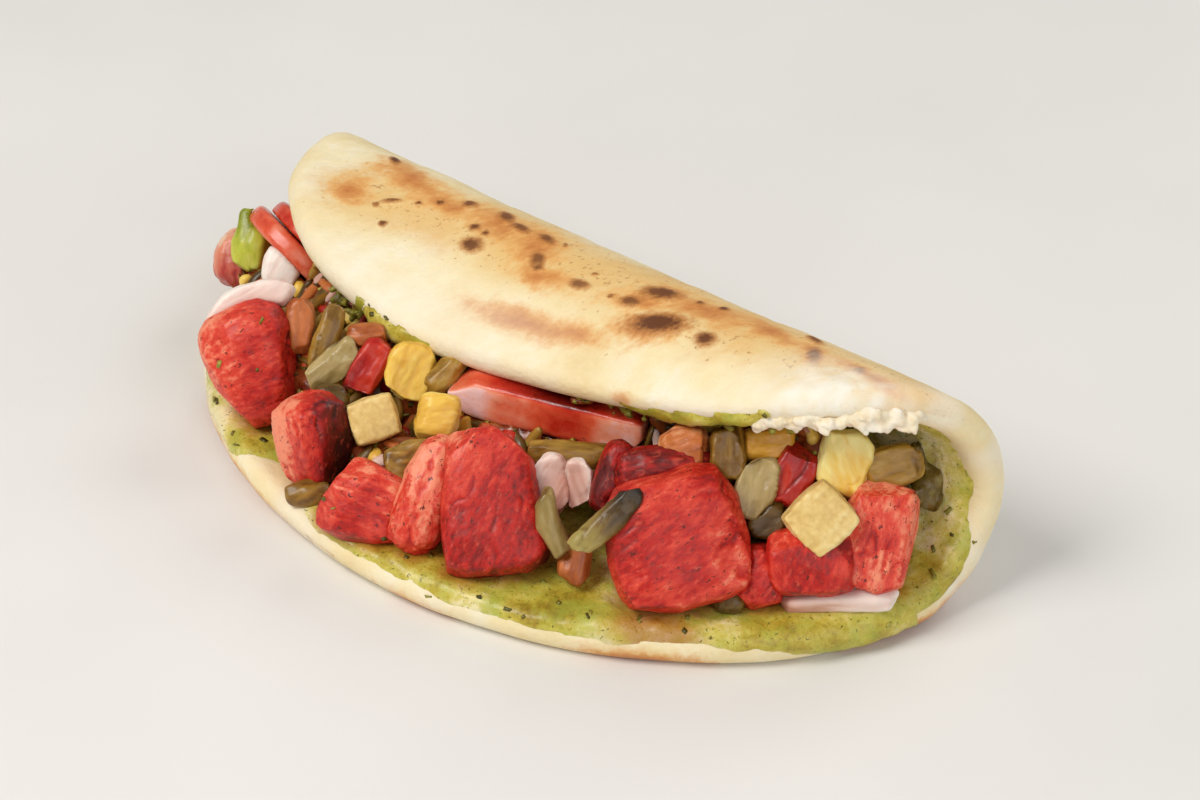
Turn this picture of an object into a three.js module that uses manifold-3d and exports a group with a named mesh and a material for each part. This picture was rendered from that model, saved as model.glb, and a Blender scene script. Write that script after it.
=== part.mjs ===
// Flatbread wrap: one oval flatbread folded once over a filling of grilled chicken chunks,
// tomato, onion, peppers and pale cubes, lying on its lower flap with the opening to the front.
// Millimetres. X runs along the fold, -Y is the open front, +Z is up. The origin is on the flat
// underside of the bread, below the filling.
import * as THREE from 'three';
import { mergeVertices } from 'three/addons/utils/BufferGeometryUtils.js';
import Module from 'manifold-3d';

const wasm = await Module();
wasm.setup();

// ---- Driving dimensions of the bread ----
const HALF_LENGTH = { right: 104, left: 99 }; // along the fold, from the middle
const HALF_WIDTH = 82.8; // across the fold, measured on the flat bread
const THICKNESS = 8;
const FOLD_START = 28; // y at which the lower flap starts to turn up
const FOLD_BOW = 3.3; // how far back of that the fold lies at the ends
const CENTRE_PAST_START = 10.6; // from the fold's start to the middle of the oval, along the bread
const FLAT_DEPTH = 45; // how far forward of the fold's start the underside lies flat
const RIM_LIFT = 0.0016; // height gained per square millimetre forward of that
// Radius of the fold, to the middle of the thickness, and how far the upper flap dips below
// level. Both change along the fold: u is -1 at the -X end and 1 at the +X end.
const foldRadius = (u) => 20 * (1 + 0.3 * u - 0.046 * u * u - 0.013 * u ** 3);
const flapDip = (u) => THREE.MathUtils.degToRad(26 + 39.5 * u);
// Squareness of the oval's four quarters: 2 is an ellipse, more is squarer.
const SQUARENESS = { backRight: 3.47, backLeft: 2.24, frontLeft: 2.2, frontRight: 1.86 };
const BULGE = { angle: 212, spread: 22, share: 0.02 }; // the front left edge stands out a little

// ---- Driving dimensions of the filling ----
const GAP = 0.35; // clearance that a piece keeps to its neighbours
const FACING = 46; // degrees that most pieces are turned about Z, towards the open corner
const LEAN = -36; // degrees that pieces lying on the slope of the heap lean back
// The heap: its length and middle along X, how far its front slope lies from the fold's axis,
// the farthest that it reaches from there, and the number of strips fused on.
const HEAP = {
  halfLength: 84, middle: -4, bluntness: 0.4, sharpness: 10, longest: 50,
  slopeAtLeft: 25, slope: 32, slopeAtRight: 4, clearance: 1.6, strips: 8, seed: 5,
};
// Low mounds of the same filling in front of the heap, between and under the pieces.
const MOUNDS = [
  { at: [-77, 5, 13.5], size: [24, 16, 12], turn: -35 },
  { at: [-53, -10, 15], size: [18, 12, 17], turn: -30 },
  { at: [-39, -14, 15], size: [30, 16, 15], turn: -18 },
  { at: [-8, -21, 13], size: [38, 16, 12], turn: 0 },
  { at: [42, -8, 13.5], size: [26, 16, 13], turn: 18 },
];

const MEAN_HALF_LENGTH = (HALF_LENGTH.right + HALF_LENGTH.left) / 2;

// ---- Colours, roughness ----
const FOODS = {
  bread: { color: 0xe9d9b4, roughness: 0.8 },
  chicken: { color: 0xc23227, roughness: 0.45 },
  tomato: { color: 0xcf3a28, roughness: 0.3 },
  onion: { color: 0xe3c8cb, roughness: 0.35 },
  redPepper: { color: 0xb81f24, roughness: 0.3 },
  greenPepper: { color: 0x8c8a4a, roughness: 0.35 },
  palePepper: { color: 0xa9a886, roughness: 0.35 },
  yellowPepper: { color: 0xdcbf58, roughness: 0.35 },
  orangePepper: { color: 0xb8762f, roughness: 0.35 },
  paleCube: { color: 0xe2cf8b, roughness: 0.5 },
  leaf: { color: 0x3b4417, roughness: 0.5 },
  heap: { color: 0x6b4a20, roughness: 0.5 },
};

const clamp01 = (value) => Math.min(1, Math.max(0, value));
const smooth = (from, to, value) => {
  const t = clamp01((value - from) / (to - from));
  return t * t * (3 - 2 * t);
};

// ---- The bread ----

// Point of the oval's edge, on the flat bread: x along the fold, s across it.
function ovalEdge(angle) {
  const c = Math.cos(angle);
  const t = Math.sin(angle);
  const right = c >= 0;
  const back = t >= 0;
  const n = back
    ? (right ? SQUARENESS.backRight : SQUARENESS.backLeft)
    : (right ? SQUARENESS.frontRight : SQUARENESS.frontLeft);
  const off = (THREE.MathUtils.euclideanModulo(THREE.MathUtils.radToDeg(angle), 360) - BULGE.angle)
    / BULGE.spread;
  const reach = (Math.abs(c) ** n + Math.abs(t) ** n) ** (-1 / n) * (1 + BULGE.share * Math.exp(-off * off));
  return [(right ? HALF_LENGTH.right : HALF_LENGTH.left) * c * reach, HALF_WIDTH * t * reach];
}

// Fold of the bread at a place x along it: its radius, the angle turned at the upper flap, and
// the y where it starts.
function foldAt(x) {
  const u = x / MEAN_HALF_LENGTH;
  return {
    radius: foldRadius(u),
    turned: Math.PI + flapDip(u),
    start: FOLD_START + FOLD_BOW * u * u,
  };
}

// Carries a point of the flat bread into the folded one. s is measured from the fold's start,
// positive over the fold. out is the height above the middle of the thickness, on the outer side.
function folded(x, s, out) {
  const { radius, turned, start } = foldAt(x);
  const rest = THICKNESS / 2;
  if (s < 0) {
    const lift = RIM_LIFT * Math.max(0, -s - FLAT_DEPTH) ** 2;
    return [x, start + s, rest + lift - out];
  }
  const a = Math.min(s / radius, turned);
  const straight = s - a * radius;
  const r = radius + out;
  return [
    x,
    start + r * Math.sin(a) + straight * Math.cos(a),
    rest + radius - r * Math.cos(a) + straight * Math.sin(a),
  ];
}

// The bread as a disc with a round rim, turned on a lathe, pulled out to the oval and folded.
function breadGeometry(grow = 0) {
  const half = THICKNESS / 2 + grow;
  const discRadius = (MEAN_HALF_LENGTH + HALF_WIDTH) / 2;
  const rings = 11;
  const rimSteps = 5;
  const spokes = 50;
  const section = [];
  for (let ring = 0; ring < rings; ring += 1) {
    section.push(new THREE.Vector2((discRadius - THICKNESS / 2) * (ring / rings), -half));
  }
  for (let step = 0; step <= rimSteps; step += 1) {
    const a = Math.PI * (step / rimSteps - 0.5);
    section.push(new THREE.Vector2(discRadius - THICKNESS / 2 + half * Math.cos(a), half * Math.sin(a)));
  }
  for (let ring = rings - 1; ring >= 0; ring -= 1) {
    section.push(new THREE.Vector2((discRadius - THICKNESS / 2) * (ring / rings), half));
  }
  const geometry = new THREE.LatheGeometry(section, spokes);
  const at = geometry.getAttribute('position');
  for (let i = 0; i < at.count; i += 1) {
    const angle = Math.atan2(at.getZ(i), at.getX(i));
    const share = Math.hypot(at.getX(i), at.getZ(i)) / discRadius;
    const [edgeX, edgeS] = ovalEdge(angle);
    at.setXYZ(i, ...folded(edgeX * share, CENTRE_PAST_START + edgeS * share, at.getY(i)));
  }
  return geometry;
}

// ---- Shapes of the filling, each about its own middle ----

// A smooth wobble from -1 to 1 over the directions of a unit shape.
function wobble(x, y, z, seed) {
  const a = Math.sin(2.3 * x + 1.9 * y + 1.7 * seed);
  const b = Math.sin(2.1 * y - 2.6 * z + 2.9 * seed);
  const c = Math.sin(2.7 * z + 1.5 * x - 1.3 * seed);
  return (a + b + c) / 3;
}

// A rounded block, size [width, depth, height]. It may narrow upwards (taper), turn about its
// width (twist, radians) and bow downwards at its ends round a circle (bow, its radius).
function block({ size, cells = [4, 4, 4], square = 4, rough = 0.05, seed = 1, taper = 0, twist = 0,
  bow = 0 }, grow = 0) {
  const geometry = new THREE.BoxGeometry(2, 2, 2, ...cells);
  const half = size.map((side) => side / 2 + grow);
  const at = geometry.getAttribute('position');
  for (let i = 0; i < at.count; i += 1) {
    const p = new THREE.Vector3(at.getX(i), at.getY(i), at.getZ(i)).normalize();
    const sum = Math.abs(p.x) ** square + Math.abs(p.y) ** square + Math.abs(p.z) ** square;
    p.multiplyScalar(sum ** (-1 / square));
    const uneven = 1 + rough * wobble(p.x, p.y, p.z, seed);
    const narrow = 1 - taper * p.z;
    let x = p.x * half[0] * uneven * narrow;
    let y = p.y * half[1] * uneven * narrow;
    let z = p.z * half[2] * uneven;
    const turn = twist * p.x;
    [y, z] = [y * Math.cos(turn) - z * Math.sin(turn), y * Math.sin(turn) + z * Math.cos(turn)];
    if (bow) {
      const a = x / bow;
      [x, z] = [(bow + z) * Math.sin(a), (bow + z) * Math.cos(a) - bow];
    }
    at.setXYZ(i, x, y, z);
  }
  return geometry;
}

// Part of a round slice standing upright, about the middle of its circle. It spans the degrees
// from and to, counter-clockwise as seen from the open front, and is cut straight between them.
function slice({ radius, thickness, from, to, bevel = 0.8 }, grow = 0) {
  const radians = THREE.MathUtils.degToRad;
  const outline = new THREE.Shape();
  outline.absarc(0, 0, radius - bevel, radians(from), radians(to), false);
  outline.closePath();
  const geometry = new THREE.ExtrudeGeometry(outline, {
    depth: thickness - 2 * bevel,
    curveSegments: 12,
    bevelThickness: bevel + grow,
    bevelSize: bevel + grow,
    bevelSegments: 1,
  });
  geometry.translate(0, 0, bevel - thickness / 2);
  geometry.rotateX(Math.PI / 2);
  return geometry;
}

// A thin wavy leaf standing on its edge, size [length, thickness, width], both faces split alike.
function leaf({ size, waves = 2, wave = 1.2, cells = [9, 4] }, grow = 0) {
  const [length, thickness, width] = size;
  const [along, across] = cells;
  const points = [];
  const faces = [];
  const layer = (along + 1) * (across + 1);
  for (const side of [1, -1]) {
    for (let i = 0; i <= along; i += 1) {
      const u = i / along;
      const reach = 0.12 + 0.88 * Math.sin(Math.PI * u ** 0.8) ** 0.7;
      for (let j = 0; j <= across; j += 1) {
        const v = j / across - 0.5;
        const lift = wave * Math.sin(2 * Math.PI * waves * u + 2.5 * v) * (0.4 + 2 * Math.abs(v));
        points.push(
          (length + 2 * grow) * (u - 0.5),
          lift + side * (thickness / 2 + grow),
          (width * reach + 2 * grow) * v,
        );
      }
    }
  }
  const quad = (a, b, c, d) => faces.push(a, b, c, a, c, d);
  const cell = (i, j) => i * (across + 1) + j;
  for (let i = 0; i < along; i += 1) {
    for (let j = 0; j < across; j += 1) {
      quad(cell(i, j), cell(i, j + 1), cell(i + 1, j + 1), cell(i + 1, j));
      faces.push(
        layer + cell(i, j), layer + cell(i + 1, j + 1), layer + cell(i, j + 1),
        layer + cell(i, j), layer + cell(i + 1, j), layer + cell(i + 1, j + 1),
      );
    }
  }
  for (let i = 0; i < along; i += 1) {
    quad(cell(i, 0), cell(i + 1, 0), layer + cell(i + 1, 0), layer + cell(i, 0));
    quad(cell(i + 1, across), cell(i, across), layer + cell(i, across), layer + cell(i + 1, across));
  }
  for (let j = 0; j < across; j += 1) {
    quad(cell(0, j + 1), cell(0, j), layer + cell(0, j), layer + cell(0, j + 1));
    quad(cell(along, j), cell(along, j + 1), layer + cell(along, j + 1), layer + cell(along, j));
  }
  const geometry = new THREE.BufferGeometry();
  geometry.setAttribute('position', new THREE.Float32BufferAttribute(points, 3));
  geometry.setIndex(faces);
  return geometry;
}

// ---- Solids ----

function solidOf(geometry) {
  const bare = geometry.clone();
  for (const extra of ['normal', 'uv']) {
    bare.deleteAttribute(extra);
  }
  const merged = mergeVertices(bare, 1e-4);
  return new wasm.Manifold(new wasm.Mesh({
    numProp: 3,
    vertProperties: new Float32Array(merged.getAttribute('position').array),
    triVerts: new Uint32Array(merged.getIndex().array),
  }));
}

function geometryOf(solid) {
  const mesh = solid.getMesh();
  const geometry = new THREE.BufferGeometry();
  geometry.setAttribute('position', new THREE.BufferAttribute(mesh.vertProperties, 3));
  geometry.setIndex(new THREE.BufferAttribute(mesh.triVerts, 1));
  geometry.computeVertexNormals();
  return geometry;
}

// Where a piece lies: its middle, how far it is turned about Z, leans back, and is rolled
// counter-clockwise as seen from the open front.
function placement({ at, turn = FACING, lean = LEAN, roll = 0 }) {
  const radians = THREE.MathUtils.degToRad;
  const rotation = new THREE.Euler(radians(lean), -radians(roll), radians(turn), 'ZXY');
  return new THREE.Matrix4().makeRotationFromEuler(rotation).setPosition(...at);
}

const SHAPES = { block, slice, leaf };

function pieceSolid(piece, grow = 0) {
  const geometry = SHAPES[piece.shape ?? 'block'](piece, grow);
  return solidOf(geometry.applyMatrix4(placement(piece)));
}

// The largest body of a solid, without the loose scraps that a cut may leave.
function largestBody(solid) {
  const bodies = solid.decompose();
  return bodies.reduce((best, body) => (body.volume() > best.volume() ? body : best));
}

const wrap = new THREE.Group();
const taken = []; // what later pieces give way to, each a little grown

function giveWay(solid) {
  let left = solid;
  for (const neighbour of taken) {
    if (left.intersect(neighbour).volume() > 0) {
      left = left.subtract(neighbour);
    }
  }
  return largestBody(left);
}

function addMesh(name, food, solid, matrix = new THREE.Matrix4()) {
  const material = new THREE.MeshStandardMaterial({ ...FOODS[food], metalness: 0 });
  const geometry = geometryOf(solid).applyMatrix4(matrix.clone().invert());
  const mesh = new THREE.Mesh(geometry, material);
  mesh.name = name;
  matrix.decompose(mesh.position, mesh.quaternion, mesh.scale);
  wrap.add(mesh);
}

function addPiece(piece) {
  const solid = giveWay(pieceSolid(piece));
  addMesh(piece.name, piece.food, solid, placement(piece));
  taken.push(pieceSolid(piece, GAP));
}

// ---- The filling's heap: cooked vegetables that run through the fold behind the pieces ----

// How far the heap reaches in a direction of the section at x, from the fold's axis.
// It keeps to the inside of the bread and ends in a slope that faces the opening.
function heapReach(x, direction, grow) {
  const { radius, turned } = foldAt(x);
  const inside = radius - THICKNESS / 2 - HEAP.clearance + grow;
  const flap = turned - Math.PI / 2;
  const left = THREE.MathUtils.lerp(HEAP.slopeAtLeft, HEAP.slope, smooth(-85, -45, x));
  const front = THREE.MathUtils.lerp(left, HEAP.slopeAtRight, smooth(-10, 65, x)) + grow;
  const overFold = Math.cos(direction - (flap - Math.PI / 2) / 2) > Math.cos((flap + Math.PI / 2) / 2);
  const walls = overFold ? [[direction, inside]] : [[flap, inside], [-Math.PI / 2, inside]];
  const faces = [...walls, [THREE.MathUtils.degToRad(180 + LEAN), front]];
  const sum = faces.reduce((total, [normal, distance]) => (
    total + (Math.max(0, Math.cos(direction - normal)) / distance) ** HEAP.sharpness), 0);
  return Math.min(sum ** (-1 / HEAP.sharpness), HEAP.longest + grow);
}

// Point of the heap's surface: u from -1 to 1 along it, and the direction in the section there.
function heapPoint(u, direction, grow = 0, depth = 1) {
  const x = HEAP.middle + (HEAP.halfLength + grow) * Math.sign(u) * Math.abs(u) ** 1.2;
  const thin = Math.sqrt(1 - u * u) ** HEAP.bluntness;
  const uneven = 1 - 0.03 * (1 + wobble(x / 9, 2 * Math.sin(direction), 2 * Math.cos(direction), 4));
  const reach = heapReach(x, direction, grow) * thin * uneven * depth;
  const { start, radius } = foldAt(x);
  return [x, start + reach * Math.cos(direction), THICKNESS / 2 + radius + reach * Math.sin(direction)];
}

// The heap with the cooked strips that show between the pieces fused on.
function heapSolid(grow = 0) {
  const geometry = new THREE.SphereGeometry(1, 20, 14);
  const at = geometry.getAttribute('position');
  for (let i = 0; i < at.count; i += 1) {
    const direction = Math.atan2(at.getX(i), at.getZ(i));
    at.setXYZ(i, ...heapPoint(at.getY(i), direction, grow));
  }
  let solid = solidOf(geometry);
  for (let k = 0; k < HEAP.strips; k += 1) {
    const draw = (n) => THREE.MathUtils.seededRandom(HEAP.seed + 7 * k + n);
    const u = THREE.MathUtils.lerp(-0.93, 0.9, (k + draw(1)) / HEAP.strips);
    const direction = THREE.MathUtils.degToRad(THREE.MathUtils.lerp(126, 188, draw(2)));
    const strip = {
      at: heapPoint(u, direction, 0, 0.97),
      size: [10 + 6 * draw(3), 4, 3.4],
      cells: [3, 2, 2],
      square: 3.5,
      seed: k,
      turn: FACING + 120 * (draw(4) - 0.5),
      roll: 70 * (draw(5) - 0.5),
    };
    solid = solid.add(pieceSolid(strip, grow));
  }
  MOUNDS.forEach((mound, seed) => {
    solid = solid.add(pieceSolid({ ...BIT, ...mound, square: 3, lean: 0, seed }, grow));
  });
  return largestBody(solid);
}

// ---- The pieces that show, each lying on the bread, the heap or its neighbours ----
// Middles and sizes [width, depth, height] in millimetres. A piece gives way to those before it,
// and the heap gives way to the tomato alone.
const CHUNK = { food: 'chicken', cells: [3, 3, 3], square: 5, rough: 0.07 };
const BIT = { cells: [3, 2, 3], square: 4, rough: 0.06 };
const STRIP = { cells: [2, 2, 4], square: 3.5, rough: 0.08 };

const TOMATO = [
  { name: 'tomato_half_slice', food: 'tomato', shape: 'slice', at: [16.8, 3.5, 26.4],
    radius: 23.2, thickness: 9.5, from: 0, to: 180, turn: 24.4, lean: -94 },
  { name: 'tomato_slice_outer', food: 'tomato', shape: 'slice', at: [-76.7, 11.8, 19.1], radius: 15,
    thickness: 5, from: -20, to: 200, turn: -13, lean: 35 },
  { name: 'tomato_slice_inner', food: 'tomato', shape: 'slice', at: [-73.5, 15.8, 19.9], radius: 15,
    thickness: 5, from: -20, to: 200, turn: -13, lean: 35 },
];

const PIECES = [
  { ...BIT, name: 'onion_band_right', food: 'onion', at: [91.3, 19.3, 11], size: [31, 7, 3.6],
    cells: [6, 2, 1], lean: 0, roll: 4, bow: 90, square: 3 },
  { ...BIT, name: 'onion_arc_left', food: 'onion', at: [-57.4, -21.5, 32.6], size: [29, 8, 4.6],
    cells: [7, 2, 1], roll: 31, bow: 12.6 },
  { ...CHUNK, name: 'chicken_left', at: [-48, -25.6, 20.6], size: [18.5, 17, 28], roll: 19,
    square: 2.8, cells: [4, 3, 4], taper: -0.27, seed: 1 },
  { ...CHUNK, name: 'chicken_middle', at: [24.8, -19.6, 20.8], size: [20.8, 17, 31], roll: 6, taper: 0.2,
    cells: [4, 4, 4], seed: 2 },
  { ...STRIP, name: 'green_strip_right', food: 'greenPepper', at: [55.4, -14.3, 28.3],
    size: [21, 4, 5], roll: 43, bow: -40 },
  { ...CHUNK, name: 'chicken_big', at: [62, 0, 20], size: [28, 19, 29], roll: 15,
    cells: [4, 4, 4], seed: 3 },
  { ...CHUNK, name: 'chicken_left_front', at: [-20, -32, 19], size: [13, 13, 19], turn: 95,
    lean: -18, roll: -4, seed: 4 },
  { ...CHUNK, name: 'chicken_front', at: [1, -35, 15], size: [20, 14, 16], lean: -25, roll: -12,
    square: 3, taper: 0.15, seed: 5 },
  { ...CHUNK, name: 'chicken_torn', at: [13, -27, 19], size: [12, 12, 26], roll: -22, square: 3,
    seed: 6 },
  { ...CHUNK, name: 'chicken_right', at: [91, 31, 21.2], size: [14.5, 12, 24], roll: -16, taper: 0.16,
    seed: 7 },
  { ...CHUNK, name: 'chicken_right_low', at: [85, 17, 18], size: [18, 12, 13], roll: 4, seed: 8 },
  { ...CHUNK, name: 'chicken_behind', at: [51, 7, 27], size: [21, 12, 13], roll: 6, seed: 9 },
  { ...CHUNK, name: 'chicken_gap', at: [43, 1, 25], size: [9, 10, 15], roll: -18, seed: 10 },
  { ...CHUNK, name: 'chicken_scrap', at: [78, 9, 14.5], size: [11.5, 10, 13], square: 3, roll: -15,
    seed: 11 },
  { ...BIT, name: 'red_onion_wedge', food: 'onion', at: [-89, 5.2, 14.6], size: [14, 10, 14],
    square: 2.8 },
  { ...BIT, name: 'green_pepper_left', food: 'greenPepper', at: [-84.5, 3.9, 22.8], size: [6.4, 4, 16],
    roll: -5 },
  { ...BIT, name: 'onion_bit_left', food: 'onion', at: [-70.5, 1.3, 23.5], size: [8, 5, 10.5] },
  { ...BIT, name: 'pale_cube_left', food: 'paleCube', at: [-12, -21, 23], size: [11, 9, 10],
    square: 8, rough: 0.03, roll: 18 },
  { ...BIT, name: 'pale_cube_right', food: 'paleCube', at: [84.5, 20.4, 27.6], size: [13.4, 10, 13],
    square: 8, rough: 0.03, roll: 43 },
  { ...BIT, name: 'yellow_pepper_cube', food: 'yellowPepper', at: [1, -14, 27], size: [9, 8, 10],
    roll: -8 },
  { ...BIT, name: 'yellow_pepper_left', food: 'yellowPepper', at: [-15, -8, 28],
    size: [10, 8, 13], roll: -16, seed: 3 },
  { ...BIT, name: 'yellow_pepper_right', food: 'yellowPepper', at: [79, 33, 33],
    size: [11, 8, 14], roll: -12, seed: 4 },
  { ...BIT, name: 'red_pepper_left', food: 'redPepper', at: [-23, -13, 27], size: [6.5, 6, 13],
    roll: -30 },
  { ...BIT, name: 'red_pepper_right', food: 'redPepper', at: [72, 25, 30], size: [8, 7, 13.5],
    roll: -25 },
  { ...STRIP, name: 'pale_pepper_left', food: 'palePepper', at: [-29, -18, 27],
    size: [15, 5, 6], roll: 42, bow: -14 },
  { ...BIT, name: 'dark_pepper_left', food: 'greenPepper', at: [-23, -24, 24], size: [7, 5, 6] },
  { ...BIT, name: 'pale_pepper_right', food: 'palePepper', at: [68.5, 17.5, 28.5], size: [8, 5, 13.5],
    roll: -20 },
  { ...BIT, name: 'dark_pepper_right', food: 'greenPepper', at: [72, 17, 22], size: [8, 6, 8] },
  { ...BIT, name: 'orange_pepper_right', food: 'orangePepper', at: [64, 25, 34],
    size: [10.5, 7, 7.5] },
  { ...BIT, name: 'olive_pepper_upright', food: 'greenPepper', at: [60, 17, 33.6],
    size: [7, 7, 12.5], square: 3 },
  { ...BIT, name: 'cooked_onion_right', food: 'orangePepper', at: [53, 11, 33],
    size: [10.5, 8, 11], square: 3 },
  { ...STRIP, name: 'olive_strip_middle', food: 'greenPepper', at: [28.6, -4.8, 26.8],
    size: [30, 5, 5.4], lean: -20 },
  { ...BIT, name: 'onion_petal_left', food: 'onion', at: [33, -10, 24], size: [8, 6, 13],
    roll: 14 },
  { ...BIT, name: 'onion_petal_right', food: 'onion', at: [37, -6, 24], size: [6, 6, 11],
    roll: -10 },
  { ...STRIP, name: 'green_strip_left', food: 'greenPepper', at: [41, -18, 22],
    size: [18, 3.6, 3.6], roll: 108, bow: 20 },
  { ...BIT, name: 'onion_stub', food: 'orangePepper', at: [47, -16, 14], size: [6, 5, 11],
    roll: -5 },
  { ...BIT, name: 'olive_pepper_middle', food: 'greenPepper', at: [4, -25, 22],
    size: [11, 5, 8], roll: 18 },
  { ...STRIP, name: 'olive_strip_front', food: 'greenPepper', at: [-14, -39, 11],
    size: [10, 5, 4.5], lean: 0 },
  { ...STRIP, name: 'olive_strip_right', food: 'greenPepper', at: [86, 39, 32],
    size: [16, 6, 8.5], roll: 16 },
  { ...STRIP, name: 'olive_strip_left', food: 'greenPepper', at: [-8, -2.5, 29],
    size: [14, 4.5, 5], roll: 43 },
  { ...STRIP, name: 'brown_strip_left', food: 'orangePepper', at: [-35, -15, 29],
    size: [18, 4, 5], roll: 72 },
  { ...BIT, name: 'orange_pepper_left', food: 'orangePepper', at: [-44, -15, 29],
    size: [5.5, 5, 12] },
  { ...BIT, name: 'yellow_bit_left', food: 'yellowPepper', at: [-28, -9, 31],
    size: [8.5, 5, 5] },
  { ...BIT, name: 'green_scrap', food: 'greenPepper', at: [76, 2, 11], size: [6, 5, 5] },
  { name: 'leaf_right', food: 'leaf', shape: 'leaf', at: [89, 48, 27], size: [16, 1, 7],
    roll: 105 },
];

addMesh('bread', 'bread', solidOf(breadGeometry()));
taken.push(solidOf(breadGeometry(GAP)));
TOMATO.forEach(addPiece);
addMesh('vegetable_heap', 'heap', giveWay(heapSolid()));
taken.push(heapSolid(GAP));
PIECES.forEach(addPiece);

export default wrap;
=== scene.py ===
import bpy
import numpy as np
from mathutils import Matrix, Vector
from mathutils.bvhtree import BVHTree


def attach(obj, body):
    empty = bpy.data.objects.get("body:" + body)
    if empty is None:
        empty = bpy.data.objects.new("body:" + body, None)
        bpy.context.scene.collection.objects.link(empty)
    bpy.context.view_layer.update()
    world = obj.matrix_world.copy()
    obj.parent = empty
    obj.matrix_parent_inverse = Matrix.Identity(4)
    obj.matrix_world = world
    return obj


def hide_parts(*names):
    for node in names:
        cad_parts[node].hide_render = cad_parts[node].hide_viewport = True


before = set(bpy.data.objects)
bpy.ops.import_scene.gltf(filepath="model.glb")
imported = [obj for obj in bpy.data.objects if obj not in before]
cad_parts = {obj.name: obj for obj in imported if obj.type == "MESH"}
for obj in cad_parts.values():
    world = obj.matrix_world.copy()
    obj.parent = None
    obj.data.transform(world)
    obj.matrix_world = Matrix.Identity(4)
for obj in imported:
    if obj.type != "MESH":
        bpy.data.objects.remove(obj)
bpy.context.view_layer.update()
MM = 0.001

# ---- Camera: azimuth 46.39, elevation 36.56 degrees, in the photo's own framing ----
EYE = np.array([546.37, -484.22, 565.00])
VIEW_RIGHT = np.array([0.68975, 0.72405, 0.0])
VIEW_DOWN = np.array([0.43129, -0.41086, -0.80323])
VIEW_BACK = np.array([0.58158, -0.55403, 0.59566])
LENS = 123.0
SENSOR = 36.0

# ---- The folded bread, with the same dimensions as the solid ----
HALF_LENGTH_RIGHT = 104.0
HALF_LENGTH_LEFT = 99.0
MEAN_HALF_LENGTH = (HALF_LENGTH_RIGHT + HALF_LENGTH_LEFT) / 2
HALF_WIDTH = 82.8
HALF_THICKNESS = 4.0
FOLD_START = 28.0
FOLD_BOW = 3.3
CENTRE_PAST_START = 10.6
FLAT_DEPTH = 45.0
RIM_LIFT = 0.0016
DISC_RADIUS = (MEAN_HALF_LENGTH + HALF_WIDTH) / 2
BREAD_GRID = 205
RIM_STEPS = 13

# ---- Thin and small things, which have no solids ----
CHUTNEY_STEP = 0.95
CHUTNEY_ROOT = 2.6  # how far its underside lies inside the bread
CRUMB_STRANDS = 130
CRUMB_FROM, CRUMB_TO = 66, 94
STRIP_TRIALS = 5200
STRIP_SPACING = 2.3
STRIP_GAP = 0.12  # the least distance from a strip to a larger piece
OPEN_SIDE = np.array([0.25, -0.75, 0.6])

FACE_TILT = 0.13  # how far a lump's cut faces lean from its own axes
DARK_FOOT = 4.0  # chicken darkens over this height above its lowest point: painted contact shade, and char

# Toasted patches and charred spots on the flat bread: x, s, half sizes, turn in degrees.
TOASTED = [
    (-57, 50, 12.7, 3.9, 21), (-26, 57, 13.6, 3.9, 18), (-12, 61, 10.4, 4.4, 30),
    (-2, 69, 8.5, 2.7, 9), (5, 81, 15.8, 3.2, 0), (16, 80, 7.8, 2.5, -2), (24, 69, 7.4, 3.4, 6),
    (36, 66, 15.1, 4.5, 5), (32, 74, 8.7, 4.5, -4), (37, 92, 2.9, 1.5, -9), (67, 69, 5.5, 2.4, 42),
    (-65, 60, 6.7, 4.3, 39), (82, 70, 10.5, 2.3, 11), (-41, 55, 9.5, 2.7, 13),
    (53, 66, 11.5, 3.1, 15),
]
CHARRED = [
    (-69, 44, 2.6, 0.8, 32), (-54, 59, 1.8, 0.7, -26), (-56, 62, 0.9, 0.6, 34),
    (-48, 57, 0.8, 0.6, 11), (-44, 55, 1.1, 0.6, 16), (-38, 53, 1.9, 1.0, 26),
    (-49, 67, 1.1, 0.8, 26), (-29, 60, 1.4, 0.8, 18), (-25, 65, 2.6, 1.7, 20),
    (-27, 54, 2.9, 1.2, 33), (-12, 58, 2.4, 1.0, 25), (-7, 65, 2.4, 1.1, 36),
    (-5, 67, 1.3, 0.7, 13), (-7, 58, 1.1, 0.4, 44), (8, 69, 2.2, 1.0, 11), (8, 65, 0.7, 0.5, 15),
    (22, 70, 2.0, 1.2, 2), (25, 65, 3.5, 2.1, -7), (33, 74, 5.4, 2.5, -7), (46, 75, 2.3, 1.4, 21),
    (34, 64, 1.2, 0.7, 50), (39, 63, 1.3, 0.9, 61), (68, 70, 3.4, 1.1, 47), (62, 63, 2.6, 1.0, 27),
    (79, 70, 1.6, 0.9, 53), (17, 70, 0.8, 0.5, 22), (-25, 61, 1.3, 0.5, 36),
    (-20, 57, 3.0, 0.9, 18),
]


# ---- Numbers ----

def smooth(low, high, value):
    """0 at low and 1 at high, with a soft start and end."""
    t = np.clip((value - low) / (high - low), 0.0, 1.0)
    return t * t * (3 - 2 * t)


def hill(value, middle, width):
    """1 at the middle, falling to 0 on both sides."""
    return np.exp(-(((value - middle) / width) ** 2))


def lattice(cell, seed):
    """A number from 0 to 1 for each whole-number point."""
    h = (cell[..., 0] * 73856093) ^ (cell[..., 1] * 19349663) ^ (cell[..., 2] * 83492791)
    h = (h ^ (seed * 2654435761)) & 0xFFFFFFFF
    h = ((h ^ (h >> 15)) * 739982445) & 0xFFFFFFFF
    h = ((h ^ (h >> 12)) * 695872825) & 0xFFFFFFFF
    return (h ^ (h >> 15)) / 0xFFFFFFFF


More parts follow.
